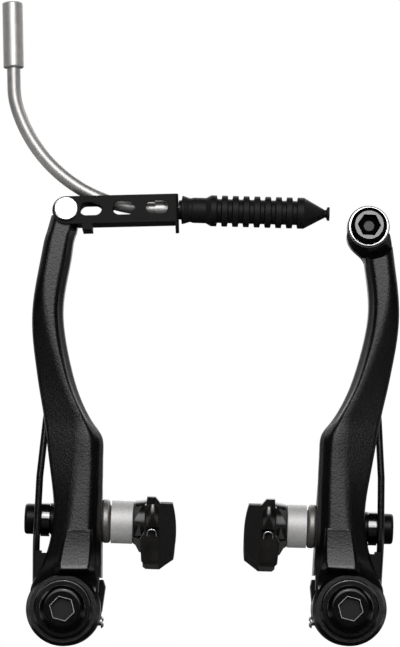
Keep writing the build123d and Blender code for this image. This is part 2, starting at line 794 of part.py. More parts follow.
def make_ferrule():
    bend_x = pipe_leg_x
    tall = ferrule_z1 - ferrule_z0
    ferrule = Pos(bend_x, 0, ferrule_z0 + tall / 2) * Cylinder(ferrule_r, tall)
    ferrule = fillet(ferrule.edges().filter_by(GeomType.CIRCLE), ferrule_edge)
    bore_mid = ferrule_z1 - ferrule_bore / 2 + 0.5
    ferrule -= Pos(bend_x, 0, bore_mid) * Cylinder(ferrule_bore_r, ferrule_bore + 1.0)
    ferrule -= Pos(bend_x, 0, (ferrule_z0 + pipe_rise) / 2) * Cylinder(pipe_r, pipe_rise - ferrule_z0)
    return ferrule - Pos(bend_x, 0, ferrule_z0) * Cylinder(pipe_bore_r, 60)


def make_nose():
    inside = link_len - link_sheet
    nose = turned([
        (tip_x0, 0),
        (tip_x0, tip_r),
        (inside, tip_r),
        (inside, tip_nose_r),
        (tip_nose_x - 1.0, tip_nose_r),
        (tip_nose_x, tip_nose_r - 0.5),
        (tip_nose_x, 0),
    ])
    nose -= rod_x(pipe_r, tip_x0 - 1.0, tip_x0 + 4.0)
    return nose - rod_x(liner_bore_r, tip_x0, tip_nose_x + 1.0)


def make_boot(nose):
    outside = [(-boot_lip, 0), (-boot_lip, boot_lip_r), (0, boot_lip_r)]
    outside += [(0, boot_collar_r), (0.4, boot_collar_r), (2.2, boot_groove_r)]
    outside += [(2.6, boot_groove_r), (3.3, boot_neck_r), (6.8, boot_neck_r)]
    for n in range(boot_ribs):
        s = boot_rib_from + n * boot_rib_pitch
        outside += [(s, boot_rib_r), (s + boot_rib_w, boot_rib_r)]
        if n < boot_ribs - 1:
            outside += [(s + boot_rib_w + 0.05, boot_groove_r), (s + boot_rib_pitch - 0.05, boot_groove_r)]
    cone_from = boot_rib_from + (boot_ribs - 1) * boot_rib_pitch + boot_rib_w
    cone_to = cone_from + boot_cone_len
    outside += [(cone_to, boot_tip_r), (cone_to + 0.35, boot_tip_r + 0.1), (cone_to + 0.7, boot_disc_r)]
    boot_end = cone_to + 0.7 + boot_disc_w
    outside += [(boot_end, boot_disc_r), (boot_end, 0)]
    hollow = [(-1, 0), (-1, boot_bore_r), (cone_from, boot_bore_r), (cone_to, boot_tip_bore_r)]
    hollow += [(boot_end + 1, boot_tip_bore_r), (boot_end + 1, 0)]
    boot = turned(outside) - turned(hollow)
    boot = Pos(boot_x0, 0, -boot_drop) * Rot(0, boot_droop, 0) * boot
    return boot - nose


# Cable anchor
def make_anchor_washer():
    front = knuckle_front - anchor_washer_t
    washer = rod_y(anchor_washer_r, front, knuckle_front, anchor_u, anchor_z)
    return washer - rod_y(anchor_bolt_r, front - 1.0, 0.0, anchor_u, anchor_z)


def make_anchor_bolt():
    under = knuckle_front - anchor_washer_t
    front = under - anchor_head_t
    head = rod_y(anchor_head_r, front, under, anchor_u, anchor_z)
    head = chamfer(head.edges().group_by(Axis.Y)[0], anchor_head_r - anchor_face_r)
    head -= hex_y(anchor_hex, front - 1.0, front + anchor_hex_depth, anchor_u, anchor_z)
    head -= rod_y(anchor_drill_r, front, front + anchor_hex_depth + 0.4, anchor_u, anchor_z)
    return head + rod_y(anchor_bolt_r, under, anchor_end, anchor_u, anchor_z)


# Put everything together
pieces = {}

fixed = {
    "pivot_bush": make_bush(),
    "pivot_washer": make_flange(),
    "stop_pin": make_stop_pin(),
    "tension_screw": make_tension_screw(),
}
for name, shape in fixed.items():
    pieces["left_" + name] = on_left(shape)
    pieces["right_" + name] = on_right(shape)

pieces["left_pivot_bolt"] = on_left(make_pivot_bolt(head_hex_turn))
pieces["right_pivot_bolt"] = on_right(make_pivot_bolt(-head_hex_turn))
pieces["left_spring_case"] = on_left(make_case(left_lobe_u))
pieces["right_spring_case"] = on_right(make_case(right_lobe_u))

left_arm = make_left_arm()
right_arm = make_right_arm()
spring = make_spring()
guide = make_guide(left_arm, spring)
carried = {
    "return_spring": spring,
    "spring_peg": make_peg(),
    "spring_guide": guide,
}
peg = carried["spring_peg"]
pieces["left_arm"] = on_left(left_arm - peg)
pieces["right_arm"] = on_right(right_arm - peg, right_swing)
for name, shape in carried.items():
    pieces["left_" + name] = on_left(shape)
    pieces["right_" + name] = on_right(shape, right_swing)
for name, shape in make_shoe(left_stud_z, left_cup_end).items():
    pieces["left_" + name] = on_left(shape)
for name, shape in make_shoe(right_stud_z, right_cup_end).items():
    pieces["right_" + name] = on_right(shape, right_swing)

link_place = Pos(link_pin_u, link_y, link_pin_z) * Rot(0, -link_lift, 0)
nose = make_nose()
linked = {
    "link": make_link(),
    "link_pin": make_link_pin(),
    "lead_pipe": make_pipe(pipe_r, pipe_bore_r, tip_x0 + 4.0, pipe_rise),
    "lead_pipe_liner": make_pipe(pipe_bore_r, liner_bore_r, tip_x0 + 4.0, pipe_rise),
    "lead_pipe_ferrule": make_ferrule(),
    "lead_pipe_nose": nose,
    "boot": make_boot(nose),
}
for name, shape in linked.items():
    pieces[name] = on_left(link_place * shape)

pieces["anchor_washer"] = on_right(make_anchor_washer(), right_swing)
pieces["anchor_bolt"] = on_right(make_anchor_bolt(), right_swing)

for name, shape in pieces.items():
    export_step(shape, "parts/" + name + ".step")
    print(name, round(shape.volume, 1), len(shape.solids()))
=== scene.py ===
# %% [markdown]
# # A rim brake in a studio
# The brake is two long painted levers, each on its own pivot, with a shoe half way up.
# A folded link, a bent lead pipe and a rubber boot join them at the top.
# The solids come from the part's source. This lesson gives them their finishes, adds the
# detail that is too fine for the solids, and sets up the studio and the camera.

# %% Load the solids
import bpy
import math
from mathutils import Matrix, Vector


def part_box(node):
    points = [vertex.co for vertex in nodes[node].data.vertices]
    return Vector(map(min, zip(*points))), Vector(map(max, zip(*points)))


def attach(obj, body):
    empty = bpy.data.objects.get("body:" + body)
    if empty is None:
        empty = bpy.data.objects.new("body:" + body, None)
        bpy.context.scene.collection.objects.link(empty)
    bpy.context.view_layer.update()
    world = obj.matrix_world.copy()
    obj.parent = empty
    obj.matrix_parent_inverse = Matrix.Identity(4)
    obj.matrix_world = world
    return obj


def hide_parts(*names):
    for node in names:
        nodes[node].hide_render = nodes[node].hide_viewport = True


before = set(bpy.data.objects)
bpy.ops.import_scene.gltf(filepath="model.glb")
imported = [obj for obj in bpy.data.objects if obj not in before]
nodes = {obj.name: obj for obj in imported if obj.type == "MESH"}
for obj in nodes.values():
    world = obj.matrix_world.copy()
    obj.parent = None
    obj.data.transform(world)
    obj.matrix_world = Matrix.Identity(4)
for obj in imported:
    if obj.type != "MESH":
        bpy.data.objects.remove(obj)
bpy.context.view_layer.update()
mm = 0.001  # a millimetre in metres
print("solids loaded:", len(nodes))

# %% [markdown]
# ## Shader maths in plain expressions
# A finish is a little formula: a grain here, a lighter ring there. Written with nodes alone it
# is long and hard to read, so one small class wraps a socket and turns + - and * into Math nodes.
# Each of these signs has its reflected form too, so that 1 - mask works.
# Colours go through Mix nodes, because a Math node would turn a colour grey.

# %% The wrapped socket
class Value:
    """A socket, and the helper that adds nodes to its tree."""

    def __init__(self, helper, socket):
        self.helper = helper
        self.socket = socket

    def _math(self, operation, other=None, swap=False):
        first, second = (other, self) if swap else (self, other)
        values = {0: first} if second is None else {0: first, 1: second}
        return self.helper.node("ShaderNodeMath", {"operation": operation}, values)

    def __add__(self, other):
        return self._math("ADD", other)

    def __radd__(self, other):
        return self._math("ADD", other, True)

    def __sub__(self, other):
        return self._math("SUBTRACT", other)

    def __rsub__(self, other):
        return self._math("SUBTRACT", other, True)

    def __mul__(self, other):
        return self._math("MULTIPLY", other)

    def __rmul__(self, other):
        return self._math("MULTIPLY", other, True)

    def __gt__(self, other):
        return self._math("GREATER_THAN", other)

    def __abs__(self):
        return self._math("ABSOLUTE")

    def root(self):
        return self._math("SQRT")

    def sine(self):
        return self._math("SINE")

    def cosine(self):
        return self._math("COSINE")

    def highest(self, other):
        return self._math("MAXIMUM", other)

    def lowest(self, other):
        return self._math("MINIMUM", other)

    def wrapped(self, period):
        return self._math("FLOORED_MODULO", period)

    def eased(self, low, high):
        """0 below low, 1 above high, and a soft step between them."""
        values = {"Value": self, "From Min": low, "From Max": high}
        return self.helper.node("ShaderNodeMapRange", {"interpolation_type": "SMOOTHSTEP"}, values)

    def ramp(self, low, high, first, last):
        """first below low, last above high, and a straight line between them."""
        values = {"Value": self, "From Min": low, "From Max": high, "To Min": first, "To Max": last}
        return self.helper.node("ShaderNodeMapRange", None, values)


print("wrapped socket ready")

# %% [markdown]
# ## One helper for every node tree
# The finishes, the boot and the world are all trees of nodes. Each node could be added and linked
# by hand in a few lines. The helper makes any node from its type, its settings and its sockets'
# values, and hands back one output as a wrapped socket, so a tree reads as a list of its steps.

# %% The node helper
class Nodes:
    """Adds nodes to one tree."""

    def __init__(self, tree):
        self.tree = tree

    def node(self, kind, settings=None, values=None, output=0):
        made = self.tree.nodes.new(kind)
        for key, value in (settings or {}).items():
            setattr(made, key, value)
        for key, value in (values or {}).items():
            if isinstance(value, Value):
                self.tree.links.new(value.socket, made.inputs[key])
            else:
                made.inputs[key].default_value = value
        return Value(self, made.outputs[output])

    def outputs(self, *made):
        """Makes a node in the same way, and hands back all its outputs by their names."""
        return {socket.name: Value(self, socket) for socket in self.node(*made).socket.node.outputs}


print("node helper ready")

# %% [markdown]
# ## A finish
# A finish is a tree with one Principled shader. What is the same all over the surface is set on
# the shader's own sockets, and what changes is fed into them. Positions are the object's own
# coordinates, so that a pattern moves with its piece. They are in millimetres, because a brake
# is easier to think of in millimetres.

# %% The finish helper
class Finish(Nodes):
    """A material with one Principled shader."""

    def __init__(self, name, **constants):
        self.material = bpy.data.materials.new(name)
        self.material.use_nodes = True
        super().__init__(self.material.node_tree)
        self.shader = self.tree.nodes["Principled BSDF"]
        for socket, value in constants.items():
            self.shader.inputs[socket.replace("_", " ")].default_value = value

    def place(self):
        """The object's own coordinates, in millimetres."""
        where = self.node("ShaderNodeTexCoord", output="Object")
        return self.node("ShaderNodeVectorMath", {"operation": "SCALE"}, {0: where, "Scale": 1 / mm})

    def xyz(self):
        """The object's own x, y and z, in millimetres."""
        return self.outputs("ShaderNodeSeparateXYZ", None, {0: self.place()}).values()

    def cloud(self, size, detail=2.0, rough=0.5):
        """Soft noise from 0 to 1 whose patches are about that many millimetres across."""
        values = {"Vector": self.place(), "Scale": 1.0 / size, "Detail": detail, "Roughness": rough}
        return self.node("ShaderNodeTexNoise", None, values)

    def blend(self, share, one, other):
        return self.node("ShaderNodeMix", {"data_type": "RGBA"}, {0: share, 6: one, 7: other}, output=2)

    def feed(self, socket, value):
        self.tree.links.new(value.socket, self.shader.inputs[socket])

    def bump(self, height, depth, strength=1.0):
        """Raises the surface by a height of 0 to 1 times a depth in millimetres."""
        values = {"Height": height, "Distance": depth * mm, "Strength": strength}
        self.feed("Normal", self.node("ShaderNodeBump", None, values))


def grey(level, warm=0.0):
    return (level * (1 + warm), level, level * (1 - warm), 1.0)


print("finish helper ready")

# %% [markdown]
# ## The levers' black finish
# The levers are forged and then finished in black with a fine grain, like very fine sandpaper,
# which spreads the light softly over their flat bands. A picture of grain could be wrapped round
# them, but a noise has no seams and is sharp at any distance. One noise makes the grain as small
# bumps, and a larger one lets the sheen drift a little along the lever. The bands are also
# crowned lengthways by a hair, too little for the solid, so the same bump leans them back just
# above the brow over the pivot, and the sheen runs on without a step.

# %% Arm finish, with heights above the pivots in millimetres
brow_foot = 12.0
brow_top = 21.8
band_top = 75.0
brow_crown = 0.45
band_crown = 3.4
arm_grain_depth = 0.045


def arm_finish():
    paint = Finish("arm_grained_black", Specular_IOR_Level=0.40)
    _, _, height = paint.xyz()
    grain = paint.cloud(0.60, rough=0.6)
    drift = paint.cloud(9.0)
    above = height.ramp(brow_top, band_top, 0.0, 1.0)
    below = height.ramp(brow_foot, brow_top, 1.0, 0.0)
    rounded = above - above * above * 0.5  # steepest at the brow, level at the top of the band
    crown = rounded * band_crown + below * below * brow_crown
    paint.feed("Base Color", paint.blend(grain.eased(0.35, 0.75), grey(0.0008), grey(0.0024)))
    paint.feed("Roughness", 0.25 + grain * 0.05 + drift * 0.04)
    paint.bump(grain * arm_grain_depth - crown, 1.0)
    return paint.material


arm_black = arm_finish()
print("made", arm_black.name)

# %% [markdown]
# ## Moulded plastic, boot rubber and black paint
# The spring cases are moulded plastic with a faint texture. The boot is rubber, matt and a little
# dusty, the link is sheet steel under thin matt paint, and the nuts and flanges are blackened.
# Each could have a tree of its own, but they are all nearly black and differ only in how much
# they shine and in the size of their grain. So one function makes them, and names those sizes.

# %% Moulded and painted black
def moulded(name, dark, light, rough, size, depth, shine, warm=0.0):
    finish = Finish(name, Specular_IOR_Level=shine)
    grain = finish.cloud(size, rough=0.55)
    drift = finish.cloud(6.0)
    finish.feed("Base Color", finish.blend(drift.eased(0.3, 0.7), grey(dark, warm), grey(light, warm)))
    finish.feed("Roughness", rough - 0.05 + grain * 0.08 + drift * 0.05)
    finish.bump(grain, depth, 0.4)
    return finish.material


case_plastic = moulded(
    "case_plastic", dark=0.002, light=0.003, rough=0.42, size=0.35, depth=0.02, shine=0.10)
boot_rubber = moulded(
    "boot_rubber", dark=0.003, light=0.005, rough=0.55, size=0.4, depth=0.02, shine=0.22)
link_black = moulded(
    "link_black", dark=0.0025, light=0.004, rough=0.48, size=0.3, depth=0.01, shine=0.10, warm=0.04)
nut_black = moulded(
    "nut_black", dark=0.002, light=0.003, rough=0.34, size=0.6, depth=0.006, shine=0.12)
flange_black = moulded(
    "flange_black", dark=0.001, light=0.002, rough=0.17, size=0.6, depth=0.003, shine=0.5)
print("made", case_plastic.name, boot_rubber.name, link_black.name, nut_black.name, flange_black.name)

# %% [markdown]
# ## Pad rubber
# The pads are rubber with a mineral filler, which shows as fine paler flecks in the cut faces.
# The flecks could be small pieces of their own, but they are under a millimetre, so the top of
# a noise stands for them, and the same noise roughens the surface.

# %% Pad finish
def pad_finish():
    finish = Finish("pad_rubber", Specular_IOR_Level=0.14)
    fleck = finish.cloud(0.55, detail=3.0, rough=0.7)
    drift = finish.cloud(5.0)
    finish.feed("Base Color", finish.blend(fleck.eased(0.55, 0.75), grey(0.003), grey(0.009)))
    finish.feed("Roughness", 0.52 + drift * 0.12)
    finish.bump(fleck, 0.05, 0.4)
    return finish.material


pad_rubber = pad_finish()
print("made", pad_rubber.name)

# %% [markdown]
# ## Spring wire
# The return springs are hard wire with a smooth black skin, so each leg carries one thin bright
# line of light. A bump would break that line, so only the colour and the gloss drift a little.

# %% Wire finish
def wire_finish():
    finish = Finish("wire_black", IOR=1.6)
    drift = finish.cloud(2.0)
    finish.feed("Base Color", finish.blend(drift, grey(0.002), grey(0.005)))
    finish.feed("Roughness", 0.16 + drift * 0.08)
    return finish.material


wire_black = wire_finish()
print("made", wire_black.name)

# %% [markdown]
# ## Shoe holders
# The holders are a hard, glossy moulding of a very dark brown. They could share the spring
# cases' plastic, but they shine more and are warmer, and that sets them off from the arms.

# %% Holder finish
def holder_finish():
    finish = Finish("holder_brown_black", Specular_IOR_Level=0.7)
    drift = finish.cloud(5.0)
    grain = finish.cloud(0.4)
    browns = grey(0.002, warm=0.10), grey(0.006, warm=0.16)
    finish.feed("Base Color", finish.blend(drift.eased(0.3, 0.7), *browns))
    finish.feed("Roughness", 0.18 + drift * 0.08)
    finish.bump(grain, 0.012, 0.3)
    return finish.material


holder_black = holder_finish()
print("made", holder_black.name)

# %% [markdown]
# ## Bright and satin metals
# The pipe is drawn steel with a satin skin, the spacers are blasted aluminium, almost white and
# quite matt, and the pin, the washers and the screws are plated. Brushed lines could be added,
# but at this size a metal is mostly what it reflects. So each one gets its own roughness and a
# faint mottle, and the dull ones are only partly metallic.

# %% Metals
def metal(name, low, high, rough, size=1.2, warm=0.0, depth=0.004, share=1.0):
    finish = Finish(name, Metallic=share)
    drift = finish.cloud(size, detail=3.0, rough=0.6)
    finish.feed("Base Color", finish.blend(drift.eased(0.25, 0.75), grey(low, warm), grey(high, warm)))
    finish.feed("Roughness", rough - 0.04 + drift * 0.08)
    finish.bump(drift, depth, 0.3)
    return finish.material


bright_steel = metal("bright_steel", low=0.78, high=0.88, rough=0.26)
pin_steel = metal("pad_pin_steel", low=0.34, high=0.42, rough=0.22)
plain_steel = metal("plain_steel", low=0.50, high=0.58, rough=0.34)
polished_black = metal("washer_polished_black", low=0.13, high=0.17, rough=0.14)
pipe_steel = metal(
    "pipe_satin_steel", low=0.40, high=0.48, rough=0.46, size=2.0, warm=0.02, share=0.85)
ferrule_steel = metal(
    "ferrule_satin_steel", low=0.46, high=0.54, rough=0.46, size=2.0, warm=0.02, share=0.85)
spacer_silver = metal(
    "spacer_matt_silver", low=0.54, high=0.64, rough=0.60, size=0.6, warm=0.01, depth=0.02, share=0.5)
washer_grey = metal(
    "washer_dark_grey", low=0.24, high=0.30, rough=0.50, size=1.0, warm=0.04, share=0.85)
screw_silver = metal("screw_silver", low=0.55, high=0.72, rough=0.38, size=0.5, depth=0.03)
print("made", bright_steel.name, plain_steel.name, pipe_steel.name, spacer_silver.name, washer_grey.name)

# %% [markdown]
# ## Blackened pivot bolts
# The arms turn under black bolts with a hexagon socket. The socket's edge is a painted highlight:
# a thin ring of bright metal where the edge catches the light. The socket's floor is a little grey.
# The edge could be a face of its own in the solid, but a formula is enough: the distance from the
# axis to a hexagon's flats is the largest of three dot products. A thin ring at that distance, on
# the bolt's front, is the painted highlight. The bolt's axis and front are read from the frame. A
# pair of distances says where a soft step starts and ends.

# %% Where a bolt is, and the shape of its socket
def axis_of(node):
    """The bolt's axis in x and z, and its front in y, in millimetres."""
    low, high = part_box(node)
    middle = (low + high) / 2
    return middle.x / mm, low.y / mm, middle.z / mm


def hexagon(x, z, turned):
    """Distance from the axis to the hexagon's flats, in millimetres."""
    sides = []
    for n in range(3):
        angle = math.radians(60 * n + turned)
        sides.append(abs(x * math.cos(angle) + z * math.sin(angle)))
    return sides[0].highest(sides[1]).highest(sides[2])


print("pivot bolts at", axis_of("left_pivot_bolt"), axis_of("right_pivot_bolt"))

# %% Pivot bolt finish, with edges from the socket's flats and depths from the front
socket_half = 3.0
socket_turn = 75.0
highlight_inner_edge = (-0.08, -0.03)
highlight_outer_edge = (0.05, 0.18)
highlight_depth = (0.1, 0.4)
socket_floor_edge = (-0.15, -0.05)
socket_floor_depth = (2.1, 2.3)


def pivot_bolt_finish(name, node):
    axis_x, front, axis_z = axis_of(node)
    finish = Finish(name, Specular_IOR_Level=0.30)
    x, y, z = finish.xyz()
    depth = y - front
    out = hexagon(x - axis_x, z - axis_z, socket_turn) - socket_half
    drift = finish.cloud(3.0)
    # painted highlight: a thin ring of bright, rougher metal along the socket's edge, near the bolt's
    # front
    ring = out.eased(*highlight_inner_edge) * (1 - out.eased(*highlight_outer_edge))
    edge_highlight = ring * (1 - depth.eased(*highlight_depth))
    bottom = depth.eased(*socket_floor_depth) * (1 - out.eased(*socket_floor_edge))
    dark = finish.blend(bottom, grey(0.001), grey(0.009))
    finish.feed("Base Color", finish.blend(edge_highlight, dark, grey(0.45)))
    finish.feed("Metallic", edge_highlight)
    finish.feed("Roughness", 0.15 + drift * 0.06 + edge_highlight * 0.25 + bottom * 0.1)
    return finish.material


left_bolt_black = pivot_bolt_finish("left_pivot_bolt_black", "left_pivot_bolt")
right_bolt_black = pivot_bolt_finish("right_pivot_bolt_black", "right_pivot_bolt")
print("made", left_bolt_black.name, right_bolt_black.name)

# %% [markdown]
# ## The anchor bolt
# The bolt that clamps the cable is black all over, except for its front face, which was turned
# bright on a lathe, and the drilled hole at the bottom of its socket. Each of the three could be
# a solid with a finish of its own. Depth from the front and distance from the axis tell them
# apart without that, and a sine of the distance gives the fine rings that the lathe left.

# %% Anchor bolt finish, with the drill's edge from the axis and depths from the front
face_depth = (0.02, 0.06)
drill_depth = (2.15, 2.4)
drill_edge = (1.42, 1.5)
lathe_rings = 24.0  # radians per millimetre


def anchor_bolt_finish(node):
    axis_x, front, axis_z = axis_of(node)
    finish = Finish("anchor_bolt_black_and_bright", Specular_IOR_Level=0.0)
    x, y, z = finish.xyz()
    across, depth, up = x - axis_x, y - front, z - axis_z
    out = (across * across + up * up).root()
    face = 1 - depth.eased(*face_depth)
    drill = depth.eased(*drill_depth) * (1 - out.eased(*drill_edge))
    rings = (out * lathe_rings).sine() * 0.5 + 0.5
    dark = finish.blend(drill, grey(0.002), grey(0.11))
    finish.feed("Base Color", finish.blend(face, dark, grey(0.19)))
    finish.feed("Metallic", face)
    finish.feed("Roughness", 0.30 + face * (0.12 + rings * 0.08))
    return finish.material


anchor_black = anchor_bolt_finish("anchor_bolt")
print("made", anchor_black.name)

# %% [markdown]
# ## Give every solid its finish
# Each solid of the part gets one finish. It could be given in the part's source, but the finish
# is easier to try out here. The names of the solids say what they are, so a short list from name
# to finish does it for both sides, and a solid that is missing from it stops the script.

# %% Assign finishes
finishes = {
    "left_arm": arm_black,
    "right_arm": arm_black,
    "spring_case": case_plastic,
    "pivot_bush": plain_steel,
    "pivot_washer": flange_black,
    "left_pivot_bolt": left_bolt_black,
    "right_pivot_bolt": right_bolt_black,
    "stop_pin": plain_steel,
    "tension_screw": screw_silver,
    "return_spring": wire_black,
    "spring_peg": wire_black,
    "spring_guide": case_plastic,
    "inner_dome_washer": washer_grey,
    "inner_cup_spacer": spacer_silver,
    "outer_dome_washer": nut_black,
    "outer_cup_washer": polished_black,
    "shoe_nut": nut_black,
    "shoe_stud": plain_steel,
    "shoe_holder": holder_black,
    "brake_pad": pad_rubber,
    "pad_pin": pin_steel,
    "link": link_black,
    "link_pin": bright_steel,
    "lead_pipe": pipe_steel,
    "lead_pipe_liner": case_plastic,
    "lead_pipe_ferrule": ferrule_steel,
    "lead_pipe_nose": pipe_steel,
    "boot": boot_rubber,
    "anchor_washer": bright_steel,
    "anchor_bolt": anchor_black,
}
for name, node in nodes.items():
    either_side = name.replace("left_", "").replace("right_", "")
    node.data.materials.clear()
    node.data.materials.append(finishes.get(name) or finishes[either_side])
print("finishes given to", len(nodes), "solids")

# %% [markdown]
# ## The boot
# The boot keeps dirt off the cable between the link and the far arm. It is a rubber sleeve with
# round ribs that let it fold when the brake closes, a collar at one end, and a cone with a small
# disc at the other. It could be turned from a drawn profile, but its profile is a rule:
# a rib every few millimetres. So a geometry tree works out the radius for each place along it.
# Every size is a named input of the tree.

# %% The boot's sizes, in millimetres along it and out from its axis
boot_sizes = {
    "Lip length": 0.85,
    "Lip radius": 2.75,
    "Lip step": 0.08,
    "Collar radius": 4.0,
    "Collar end": 0.4,
    "Groove radius": 3.4,
    "Groove start": 2.2,
    "Groove end": 2.6,
    "Neck radius": 3.6,
    "Neck start": 3.3,
    "Neck rise": 1.5,
    "Rib radius": 4.4,
    "First rib": 8.3,
    "Rib pitch": 3.05,
    "Rib width": 1.75,
    "Ribs": 9.0,
    "Rib edge": 0.22,
    "Cone length": 6.0,
    "Tip radius": 1.1,
    "Tip length": 1.3,
    "Disc start": 0.3,
    "Disc full": 0.7,
    "Disc radius": 1.95,
    "Bore radius": 2.4,
    "Tip bore radius": 0.8,
}
boot_start = (-6.90, -14.5, 112.294)
boot_droop = 1.6  # degrees
print("boot sizes:", len(boot_sizes))

# %% [markdown]
# ## Turning a strip
# On a lathe a profile becomes a round shape by turning. Blender's Screw modifier does the same
# with a drawn line. Here a flat grid is bent into a ring instead: one side of the grid runs along
# the boot and the other goes once round it, so that the rule can set the radius of each row.

# %% A strip of the boot, turned about its axis
boot_around = 73
grid_half = 0.5  # a grid of size 1 lies half on each side of its middle


def turned_strip(rule, rows, profile, flip):
    """A grid bent into a ring: profile gives the place along the axis and the radius."""
    counts = {"Vertices X": rows, "Vertices Y": boot_around}
    grid = rule.node("GeometryNodeMeshGrid", None, {"Size X": 1.0, "Size Y": 1.0, **counts})
    flat = rule.outputs("ShaderNodeSeparateXYZ", None, {0: rule.node("GeometryNodeInputPosition")})
    along, radius = profile(flat["X"] + grid_half)
    angle = (flat["Y"] + grid_half) * (2 * math.pi)
    ring = {0: along, 1: radius * angle.cosine(), 2: radius * angle.sine()}
    place = rule.node("ShaderNodeCombineXYZ", None, ring)
    small = rule.node("ShaderNodeVectorMath", {"operation": "SCALE"}, {0: place, "Scale": mm})
    bent = rule.node("GeometryNodeSetPosition", None, {"Geometry": grid, "Position": small})
    return rule.node("GeometryNodeFlipFaces", None, {"Mesh": bent}) if flip else bent


print("strip helper ready, points around:", boot_around)

# %% [markdown]
# ## The boot's profile
# A rib is a soft step up and a soft step down, and the remainder of a division repeats it at every
# pitch. The collar, the neck, the cone and the disc are ramps that are added to it. Four strips
# close the boot: its outside, its bore and the two ring faces at its ends.

# %% Four profiles, each from a share of 0 to 1 to a place along the boot and a radius
def boot_profiles(size):
    start = size["Lip length"] * -1.0
    first, pitch, width, edge = (size[n] for n in ("First rib", "Rib pitch", "Rib width", "Rib edge"))
    lip, collar, groove, neck = (size[n + " radius"] for n in ("Lip", "Collar", "Groove", "Neck"))
    rib, tip, disc, bore = (size[n + " radius"] for n in ("Rib", "Tip", "Disc", "Bore"))
    tip_bore = size["Tip bore radius"]
    rise_from = first - size["Neck rise"]
    cone_from = first + (size["Ribs"] - 1.0) * pitch + width
    cone_to = cone_from + size["Cone length"]
    length = cone_to + size["Tip length"]

    def outside(share):
        along = share * (length - start) + start
        low = along.ramp(size["Lip step"] * -1.0, 0.0, lip, collar)
        low = low + along.ramp(size["Collar end"], size["Groove start"], 0.0, groove - collar)
        low = low + along.ramp(size["Groove end"], size["Neck start"], 0.0, neck - groove)
        low = low - along.ramp(rise_from, first, 0.0, neck - groove)
        phase = (along - first).wrapped(pitch)
        ribs = 1.0 - phase.eased(width - edge, width) + phase.eased(pitch - edge, pitch)
        started = along > first
        height = started * ribs + (1.0 - started) * along.ramp(rise_from, first, 0.0, 1.0)
        runs_on = along > cone_from - edge * 1.5  # the last rib has no groove before the cone
        height = height.highest(runs_on)
        radius = (low + (rib - groove) * height).lowest(along.ramp(cone_from, cone_to, rib, tip))
        spread = along.ramp(cone_to + size["Disc start"], cone_to + size["Disc full"], 0.0, disc - tip)
        return along, radius + spread

    def inside(share):
        along = share * (length - start) + start
        return along, along.ramp(cone_from, cone_to, bore, tip_bore)

    def near_end(share):
        return share * 0.0 + start, bore + share * (lip - bore)

    def far_end(share):
        return share * 0.0 + length, tip_bore + share * (disc - tip_bore)

    return outside, inside, near_end, far_end


print("boot profiles ready")

# %% [markdown]
# ## The boot's tree
# The four strips are joined and welded where they meet. Sharp corners are kept sharp and the rest
# is smooth, as on a moulding. The tree ends with Realize Instances and Set Material, because the
# export drops instances.

# %% The boot's rule
boot_strips = ((430, True), (40, False), (2, True), (2, False))  # rows, and whether faces are flipped
weld_distance = 1e-6
corner_angle = math.radians(55)


def boot_tree(material):
    tree = bpy.data.node_groups.new("boot_by_rule", "GeometryNodeTree")
    for name in boot_sizes:
        tree.interface.new_socket(name=name, in_out="INPUT", socket_type="NodeSocketFloat")
    tree.interface.new_socket(name="Geometry", in_out="OUTPUT", socket_type="NodeSocketGeometry")
    rule = Nodes(tree)
    joined = tree.nodes.new("GeometryNodeJoinGeometry")
    profiles = boot_profiles(rule.outputs("NodeGroupInput"))
    for profile, (rows, flip) in zip(profiles, boot_strips):
        tree.links.new(turned_strip(rule, rows, profile, flip).socket, joined.inputs[0])
    welded = {"Geometry": Value(rule, joined.outputs[0]), "Distance": weld_distance}
    whole = rule.node("GeometryNodeMergeByDistance", None, welded)
    smooth = rule.node("GeometryNodeSetShadeSmooth", None, {"Geometry": whole})
    corner = rule.node("GeometryNodeInputMeshEdgeAngle") > corner_angle
    sharp = {"Geometry": smooth, "Selection": corner, "Shade Smooth": False}
    creased = rule.node("GeometryNodeSetShadeSmooth", {"domain": "EDGE"}, sharp)
    start = [v * mm for v in boot_start]
    where = {"Translation": start, "Rotation": (0.0, math.radians(boot_droop), 0.0)}
    placed = rule.node("GeometryNodeTransform", None, {"Geometry": creased, **where})
    real = rule.node("GeometryNodeRealizeInstances", None, {"Geometry": placed})
    dressed = rule.node("GeometryNodeSetMaterial", None, {"Geometry": real, "Material": material})
    end = tree.nodes.new("NodeGroupOutput")
    tree.links.new(dressed.socket, end.inputs["Geometry"])
    return tree


boot_rule = boot_tree(boot_rubber)
print("boot tree:", len(boot_rule.nodes), "nodes")

# %% [markdown]
# ## From a tree to a mesh
# A geometry tree works as a modifier. It could stay live on the boot, but the export and the poses
# need a plain mesh. So an empty carrier runs the tree once, its result is kept as the boot's mesh,
# and the carrier goes. The boot then takes the plain solid's place and moves with the link.

# %% Run the tree and keep the boot
def add(name, data):
    """A new object with that data, put into the scene."""
    made = bpy.data.objects.new(name, data)
    bpy.context.scene.collection.objects.link(made)
    return made


def plain_mesh(name, tree, sizes):
    """Runs a geometry tree once and keeps its result as a plain mesh."""
    carrier = add(name + "_carrier", bpy.data.meshes.new(name + "_carrier"))
    modifier = carrier.modifiers.new("rule", "NODES")
    modifier.node_group = tree
    for item in tree.interface.items_tree:
        if item.in_out == "INPUT":
            modifier[item.identifier] = sizes[item.name]
    evaluated = carrier.evaluated_get(bpy.context.evaluated_depsgraph_get())
    mesh = bpy.data.meshes.new_from_object(evaluated)
    bpy.data.objects.remove(carrier)
    return add(name, mesh)


boot = plain_mesh("ribbed_boot", boot_rule, boot_sizes)
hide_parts("boot")
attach(boot, "cable_link")
print("boot:", len(boot.data.polygons), "faces")

# %% [markdown]
# ## The floor
# A product studio has a pale floor, and a black card laid under a dark product keeps its undersides
# dark. The card could be a piece of its own, but it would show in views from above. So the floor
# itself turns dark in a strip below the brake, for reflections only, which Is Glossy Ray tells.
# A little light of its own, for the camera only, keeps the floor pale.

